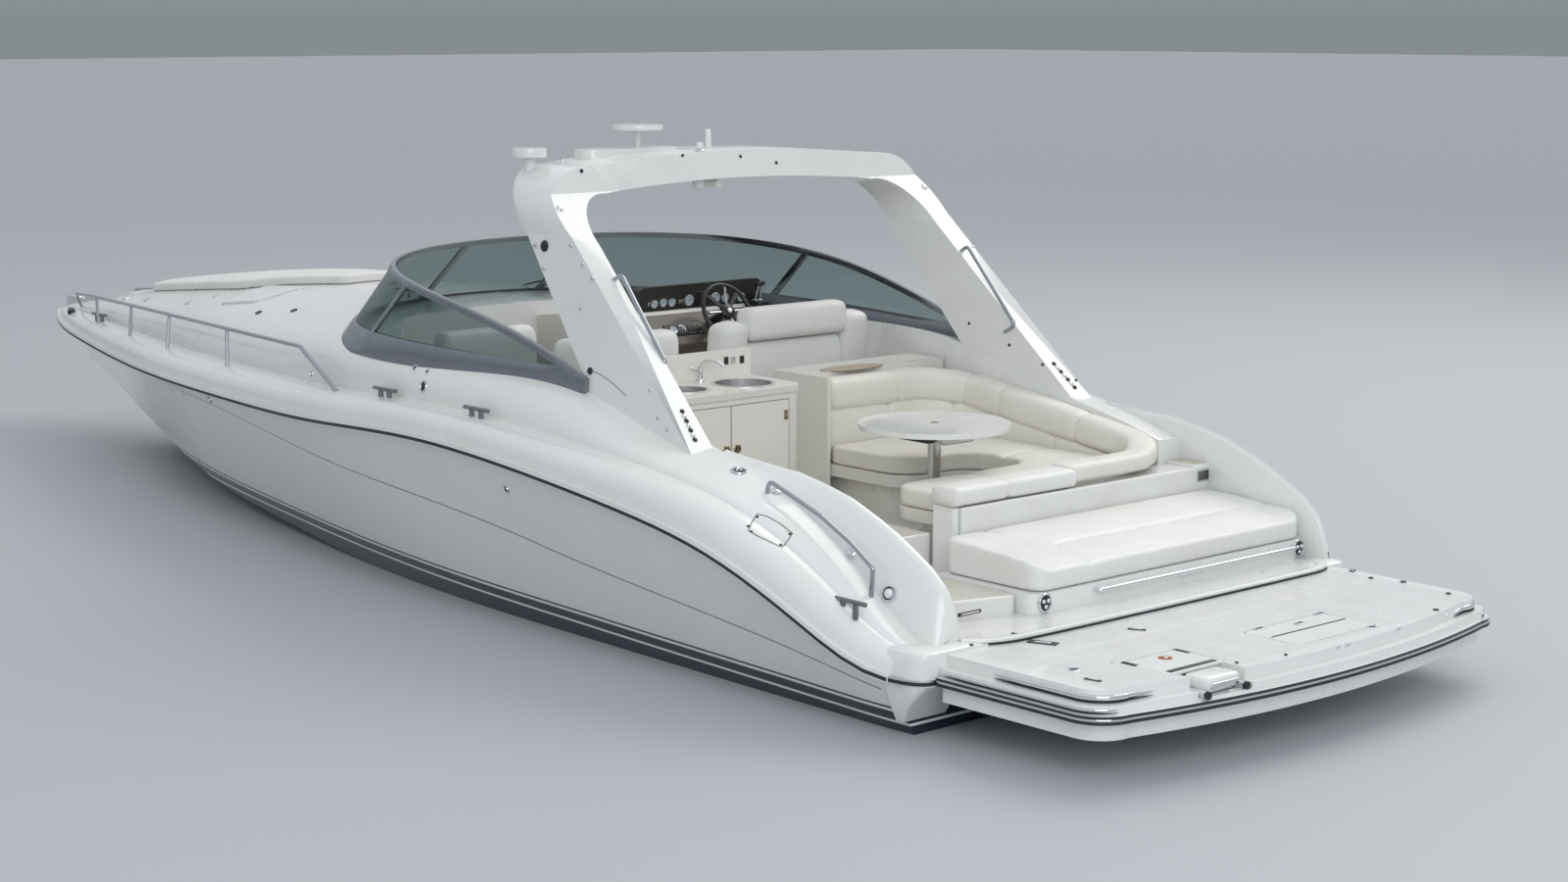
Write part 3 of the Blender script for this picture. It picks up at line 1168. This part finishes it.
def on_pod(y, z):
    """A place on the pod's aft face, or on the plane through it."""
    seen = cast("instrument_pod", (4.0, y, z), FORE)
    return seen[0] if seen else POD_LOW.lerp(POD_HIGH, (z - POD_LOW.z) / (POD_HIGH.z - POD_LOW.z)) + PORT * y


def gauge(kit, place, normal, radius, turn, light):
    """A dial with a bright bezel, a face, nine ticks and a needle."""
    face, ink = (marking, dial) if light else (dial, marking)
    bezel = [(1, 0), (1, 0.006), (0.94, 0.0095), (0.86, 0.0095), (0.83, 0.005)]
    kit.lathe(place, normal, [(radius * wide, height) for wide, height in bezel], chrome, 28)
    kit.lathe(place, normal, [(radius * 0.85, 0), (radius * 0.85, 0.0055)], face, 28)
    rise = (UP - normal * UP.dot(normal)).normalized()
    across = rise.cross(normal)

    def stroke(degrees, start, end, lift, thick):
        out = rise * cos(radians(degrees)) + across * sin(radians(degrees))
        at = place + normal * lift
        kit.rod(at + out * radius * start, at + out * radius * end, radius * thick, ink, 6)

    for k in range(9):
        stroke(-135 + 270 * k / 8, 0.60, 0.74, 0.0062, 0.030)
    stroke(turn, -0.10, 0.56, 0.0064, 0.035)
    kit.lathe(place + normal * 0.005, normal, [(radius * 0.12, 0), (radius * 0.10, 0.003)], ink, 10)


kit = Kit("helm_instruments", BOAT, chrome)
for y, z, radius, light, turn in DIALS:
    gauge(kit, on_pod(y, z), POD_OUT, radius, turn, light)
kit.boxes(((size, on_pod(y, z), *rest) for size, y, z, *rest in POD_BOXES), facing(POD_OUT))
kit.done(35)

# Switch panels on the dash's aft face: middle, half width, gauges, first switch, spacing, count and width
PANEL_Z = 1.378
PANEL_HALF_HEIGHT = 0.045
PANELS = (
    (-0.66, 0.155, ((0.085, True), (0.018, False)), -0.045, 0.028, 4, 0.018),
    (-1.12, 0.145, (), 0.115, 0.036, 6, 0.022),
)
RED_LAMP = 2  # the port panel's switch with a red lamp
kit = Kit("dash_panels", BOAT, black)
for y, half, gauges, first, spacing, count, wide in PANELS:
    place, out = cast("dash_console", (3.9, y, PANEL_Z), FORE)
    turn = facing(out)
    kit.box((0.012, 2 * half, 2 * PANEL_HALF_HEIGHT), place, 0.005, black, turn)
    for dy, light in gauges:
        gauge(kit, place + out * 0.004 + PORT * dy, out, 0.028, 30, light)
    for k in range(count):
        at = place + out * 0.006 + PORT * (first - spacing * k)
        kit.box((0.008, wide, 0.042), at, 0.003, dial, turn)
        kit.box((0.0075, wide - 0.006, 0.012), at, 0.002, satin, turn)
        kit.ball(at + turn @ UP * 0.031, 0.004, lens_red if gauges and k == RED_LAMP else chrome)
kit.done(35)

# Wheel: bright spokes and hub cap, which turn with the rim
WHEEL_AT = Vector((4.25, -0.9, 1.49))
WHEEL_AXIS = Vector((-sin(radians(62)), 0, cos(radians(62))))
WHEEL_RISE = PORT.cross(WHEEL_AXIS)
HUB = ((0.052, 0), (0.052, 0.010), (0.044, 0.018), (0.018, 0.022))
HUB_CAP = ((0.030, 0), (0.028, 0.008), (0.010, 0.011))
kit = Kit("wheel_trim", "steering_wheel", chrome)
for a in (radians(-10), radians(90), radians(190), radians(270)):
    out = WHEEL_RISE * cos(a) + PORT * sin(a)
    root, tip = WHEEL_AT + out * 0.040 + WHEEL_AXIS * 0.004, WHEEL_AT + out * 0.168 + WHEEL_AXIS * 0.016
    kit.rod(root, tip, 0.0085, chrome, 10)
kit.lathe(WHEEL_AT + WHEEL_AXIS * 0.006, WHEEL_AXIS, HUB, black, 28)
kit.lathe(WHEEL_AT + WHEEL_AXIS * 0.018, WHEEL_AXIS, HUB_CAP, chrome, 24)
kit.done()

# Throttle box with two levers beside the wheel
THROTTLE_X = 4.42
kit = Kit("throttle_levers", BOAT, chrome)
kit.box((0.150, 0.100, 0.050), (THROTTLE_X, -1.30, 1.50), 0.014, black)
for y in (-1.318, -1.282):
    kit.rod((THROTTLE_X, y, 1.515), (4.385, y, 1.625), 0.0075, chrome, 10)
    kit.rod((4.40, y - 0.004, 1.628), (4.372, y + 0.004, 1.642), 0.0155, black, 14)
    kit.lathe((THROTTLE_X, y - 0.012, 1.512), PORT, [(0.024, 0), (0.024, 0.024)], satin, 20)
kit.done()

# Wet bar: ring pull and hinges of each door, as the y of its pull and of its hinges
BAR_AFT_OF = 1.5
PULL_RIM = ((0.027, 0), (0.027, 0.006), (0.024, 0.009), (0.018, 0.009), (0.016, 0.005))
DOORS = {"bar_door_port": (0.905, 1.262), "bar_door_starboard": (0.826, 0.47)}
for door, (y, hinge_y) in DOORS.items():
    kit = Kit(f"{door}_pull", door, bronze)
    place, normal = cast(door, (BAR_AFT_OF, y, 1.045), FORE)
    pull = place + FORE * 0.003
    kit.lathe(pull, -FORE, PULL_RIM, bronze, 24)
    kit.lathe(pull, -FORE, [(0.018, 0), (0.018, 0.0055)], black, 20)
    kit.rod(place + Vector((-0.005, 0, -0.016)), place + Vector((-0.005, 0, 0.016)), 0.0035, bronze, 8)
    for z in (0.80, 1.20):
        seen = cast(door, (BAR_AFT_OF, hinge_y, z), FORE)
        if seen:
            kit.box((0.007, 0.028, 0.056), seen[0], 0.002, bronze)
            for dz in (-0.018, 0.018):
                kit.ball(seen[0] + Vector((-0.004, 0, dz)), 0.0035, black)
    kit.done()

# Tap over the sink, and the drains of the two basins: y and radius
TAP_FOOT = Vector((2.555, 0.72, 1.358))
TAP_BASE = ((0.024, 0), (0.022, 0.012), (0.012, 0.018), (0.012, 0.085))
TAP = ((2.555, 0.72, 1.43), (2.545, 0.715, 1.475), (2.47, 0.68, 1.485), (2.43, 0.655, 1.455))
TAP_LEVER = ((2.555, 0.735, 1.425), (2.565, 0.785, 1.445))
DRAINS = ((0.58, 0.024), (0.98, 0.018))
kit = Kit("bar_taps", BOAT, chrome)
kit.lathe(TAP_FOOT, UP, TAP_BASE, chrome, 20)
kit.tube(smooth_path(TAP, 0.012, 4), 0.009, chrome)
kit.rod(*TAP_LEVER, 0.006, chrome, 10)
for y, radius in DRAINS:
    seen = cast("sink", (2.355, y, 1.6), DOWN)
    if seen:
        kit.lathe(seen[0] - UP * 0.002, UP, [(radius, 0), (radius, 0.005), (radius * 0.6, 0.006)], satin, 18)
        kit.lathe(seen[0] + UP * 0.003, UP, [(radius * 0.45, 0), (radius * 0.45, 0.004)], black, 14)
kit.done()

# Arch fittings at pixels: radius, material, height, and the legs that have one
PORT_LEG = (1,)
ARCH_STUDS = (
    (571, 213, 0.020, chrome, 0.012, BOTH), (556, 251, 0.032, black, 0.016, BOTH),
    (583, 250, 0.014, chrome, 0.010, BOTH), (555.5, 273.5, 0.014, chrome, 0.010, BOTH),
    (595, 269.5, 0.014, chrome, 0.010, BOTH), (605, 284, 0.014, chrome, 0.010, BOTH),
    (592.8, 314.5, 0.011, satin, 0.008, PORT_LEG), (602.5, 378.5, 0.020, black, 0.014, BOTH),
    (663.6, 398, 0.012, chrome, 0.008, BOTH), (671.5, 426.7, 0.011, satin, 0.008, PORT_LEG),
    (681, 438.5, 0.011, satin, 0.008, PORT_LEG), (593.3, 174.5, 0.012, black, 0.006, PORT_LEG),
    (573.9, 163.5, 0.012, satin, 0.008, PORT_LEG), (547, 250, 0.014, chrome, 0.018, PORT_LEG),
)
ARCH_SNAPS = ((696.5, 158.6), (755.5, 159.5), (792, 166), (989, 330), (1030, 352), (1064, 372), (1098, 384))
BEAM_PIXEL = (720.8, 157.5)
ANCHOR_BASE = ((0.030, 0), (0.030, 0.010), (0.024, 0.016), (0.024, 0.020))
ANCHOR_GLASS = ((0.021, 0), (0.021, 0.030), (0.015, 0.038))
HUNG_BASE = ((0.050, 0), (0.048, 0.012), (0.040, 0.020))
HUNG_GLASS = ((0.036, 0), (0.036, 0.030), (0.026, 0.046), (0.010, 0.052))
kit = Kit("arch_details", BOAT, chrome)
for place, normal, radius, material, height, sides in sighted(ARCH_STUDS, "arch"):
    for side in sides:
        kit.stud(on_side(side, place), on_side(side, normal), radius, height, material, 18)
for place, normal in sighted(ARCH_SNAPS, "arch", "deck"):
    kit.stud(place, normal, 0.010, 0.007, black, 12)
# Anchor light on the beam, and a clear lamp hung below it
beam, normal = sight(BEAM_PIXEL, "arch")
top, normal = cast("arch", (beam.x + 0.06, beam.y, 3.2), DOWN)
kit.lathe(top - UP * SUNK, UP, ANCHOR_BASE, chrome, 22)
kit.lathe(top + UP * 0.014, UP, ANCHOR_GLASS, lens, 20)
under, normal = cast("arch", (beam.x + 0.10, beam.y - 0.02, 1.9), UP)
kit.lathe(under + UP * SUNK, DOWN, HUNG_BASE, satin, 24)
kit.lathe(under - UP * 0.014, DOWN, HUNG_GLASS, lens, 22)
kit.done()

# Faint creases where the arch legs spread into the coaming, and snaps on the aft edge of each leg's foot
CREASE = [(603 + 36 * t, 378 + 26 * t ** 1.4) for t in np.linspace(0, 1, 10)]
SNAPS = [(696 + 13 * t, 420 + 29 * t) for t in np.linspace(0, 1, 7)]
kit = Kit("arch_creases", BOAT, seam_dark)
for side in BOTH:
    crease = [on_side(side, place + normal * 0.0004) for place, normal in sighted(CREASE, "arch", "deck")]
    kit.tube(smooth_path(crease, 0.02, 3), 0.0022, seam_dark, 6)
kit.done(60)
kit = Kit("arch_snap_strip", BOAT, rubber)
for side in BOTH:
    for k, (place, normal) in enumerate(sighted(SNAPS, "arch")):
        kit.stud(on_side(side, place), on_side(side, normal), 0.014, 0.010, chrome if k % 2 else rubber)
kit.done()

# Bow: hatch catches, hook and small deck fittings at pixels, and the bow light's two housings
BOW_STUDS = (
    (150, 306, 0.030, satin, 0.012), (193, 309, 0.030, satin, 0.012), (264, 319, 0.026, black, 0.010),
    (300, 317, 0.026, black, 0.010), (128.4, 304.5, 0.030, chrome, 0.016),
    (219.5, 302.5, 0.020, satin, 0.010),
)
FOREDECK = ("deck", "foredeck_hatch", "anchor_locker_lid")
BOW_LIGHT = Vector((11.30, 0.30, 2.0))
BOW_LIGHT_TURN = 24
BOW_LIGHT_PARTS = (((0.20, 0.060, 0.055), 0.020, black), ((0.130, 0.068, 0.030), 0.012, lens_green))
kit = Kit("bow_fittings", BOAT, chrome)
for place, normal, radius, material, height in sighted(BOW_STUDS, *FOREDECK):
    kit.stud(place, normal, radius, height, material, 18)
for side in BOTH:
    place, normal = cast("deck", on_side(side, BOW_LIGHT), DOWN)
    for size, bevel, material in BOW_LIGHT_PARTS:
        kit.box(size, place, bevel, material, spin(-side * BOW_LIGHT_TURN))
kit.done()

# Wipers parked along the foot of the windscreen: pivot, arm, and a blade that follows the glass
WIPER_Y = 0.42
WIPER_PIVOT = ((0.028, 0), (0.028, 0.016), (0.018, 0.030), (0.018, 0.044))
SCREEN_FORE_OF = 7.5
kit = Kit("windscreen_fittings", BOAT, black)
for side in BOTH:
    glass_at, normal = cast("windscreen_glass", (SCREEN_FORE_OF, side * WIPER_Y, 1.62), -FORE)
    foot, normal = cast("deck", (glass_at.x + 0.16, side * WIPER_Y, 2.4), DOWN)
    kit.lathe(foot - UP * SUNK, UP, WIPER_PIVOT, satin, 20)
    kit.rod(foot + UP * 0.038, glass_at + Vector((0.014, side * 0.30, 0.03)), 0.006, black, 10)
    seen = [cast("windscreen_glass", (SCREEN_FORE_OF, side * (0.72 + 0.35 * t), 1.65 + 0.25 * t), -FORE)
            for t in np.linspace(-0.24, 0.24, 9)]
    blade = [at[0] + FORE * 0.012 for at in seen if at]
    if len(blade) > 3:
        kit.tube(blade, 0.007, black, 8)
kit.done()

# Table: centre pin in the top, and the folding bracket that carries it
TABLE = Vector([sum(corner[i] for corner in NODES["table"].bound_box) / 8 for i in (0, 1)] + [0])
top, normal = cast("table", TABLE + UP * 2.0, DOWN)
under, normal = cast("table", TABLE + Vector((0.12, 0.12, 0.7)), UP)
BRACKET = (
    ((0.40, 0.24, 0.053), TABLE + UP * under.z, 0.012, satin),
    ((0.24, 0.34, 0.042), TABLE + UP * under.z, 0.010, black),
)
kit = Kit("table_fittings", BOAT, bronze)
kit.lathe(top - UP * 0.003, UP, [(0.022, 0), (0.022, 0.005), (0.014, 0.007), (0.006, 0.0075)], bronze, 24)
kit.boxes(BRACKET)
kit.done()

# Aft console: a thin oval lid with its seam, and a flush slot on the top
LID_Y = -0.62
top, normal = cast("aft_console", (2.75, -0.75, 2.0), DOWN)
tan = plain("lid_tan", (0.42, 0.35, 0.26), 0.45)
kit = Kit("console_lid", BOAT, tan)
oval = [(0.095 * cos(2 * pi * k / 40), 0.235 * sin(2 * pi * k / 40)) for k in range(40)]
seam = [Vector((top.x + x * 1.04, LID_Y + y * 1.02, top.z + 0.0008)) for x, y in oval]
kit.loft([[Vector((top.x + x, LID_Y + y, top.z + lift)) for x, y in oval] for lift in (-0.003, 0.003)])
kit.tube(seam, 0.0020, seam_dark, 6, True)
kit.box((0.024, 0.20, 0.007), (top.x - 0.02, -1.16, top.z), 0.003, satin)
kit.done(40)

# Starboard quarter of the cockpit: small tread with a steel grille beside the pad
sand = plain("tread_sand", (0.56, 0.51, 0.42), 0.8)
TREAD_PARTS = (
    ((0.215, 0.127, 0.212), (0.8475, -1.4885, 0.766), 0.010, gelcoat),
    ((0.180, 0.105, 0.008), (0.855, -1.4925, 0.872), 0.003, sand),
    ((0.009, 0.100, 0.070), (0.7375, -1.490, 0.810), 0.003, satin),
    *(((0.006, 0.008, 0.054), (0.733, -1.530 + 0.0155 * k, 0.810), 0.002, black) for k in range(6)),
)
kit = Kit("starboard_tread", BOAT, gelcoat)
kit.boxes(TREAD_PARTS)
kit.done(40)

# Splash board behind the bar: dark sockets and a latch at pixels
SOCKETS = ((741, 368, black), (748, 367.2, satin), (757, 366.8, black), (676, 377, chrome))
kit = Kit("splash_board_fittings", BOAT, black)
for place, normal, material in sighted(SOCKETS, "wet_bar"):
    kit.box((0.010, 0.032, 0.044), place, 0.004, material, Matrix.Rotation(atan2(normal.y, normal.x), 3, "Z"))
kit.done()

# Floor at the waterline
FLOOR_SIZE = 400
bpy.ops.mesh.primitive_plane_add(size=FLOOR_SIZE, location=(0, 0, 0))
floor = bpy.context.object
floor.name = "floor"
floor.data.materials.append(Nodes("floor_pale", (0.46, 0.48, 0.50), 0.55).mat)

# Soft daylight: a sky graded from the horizon up, and two broad lamps
LAMPS = {  # place, target, size, watts and color
    "key": ((3, -13, 15), (4, 0, 1), 14, 1450, (1.0, 0.965, 0.91)),
    "fill": ((-12, 9, 8), (3, 0, 1), 10, 900, (0.90, 0.95, 1.0)),
}
SKY_STRENGTH = 0.78
SKY = ((0.0, (0.30, 0.34, 0.36, 1)), (0.12, (0.62, 0.68, 0.72, 1)), (0.6, (0.92, 0.96, 1.0, 1)))
world = bpy.data.worlds.new("world")
world.use_nodes = True
SCENE.world = world
tree = world.node_tree
background = tree.nodes["Background"]
background.inputs["Strength"].default_value = SKY_STRENGTH
split = tree.nodes.new("ShaderNodeSeparateXYZ")
tree.links.new(tree.nodes.new("ShaderNodeTexCoord").outputs["Generated"], split.inputs[0])
ramp = tree.nodes.new("ShaderNodeValToRGB")
tree.links.new(split.outputs[2], ramp.inputs[0])
ramp.color_ramp.elements.new(0.5)
for stop, (place, color) in zip(ramp.color_ramp.elements, SKY):
    stop.position = place
    stop.color = color
tree.links.new(ramp.outputs[0], background.inputs["Color"])

for name, (place, target, size, watts, color) in LAMPS.items():
    data = bpy.data.lights.new(name, "AREA")
    data.size = size
    data.energy = watts
    data.color = color
    obj = bpy.data.objects.new(name, data)
    obj.location = place
    obj.rotation_euler = (Vector(target) - Vector(place)).to_track_quat("-Z", "Y").to_euler()
    SCENE.collection.objects.link(obj)

SCENE.view_settings.view_transform = "Standard"
SCENE.view_settings.look = "None"
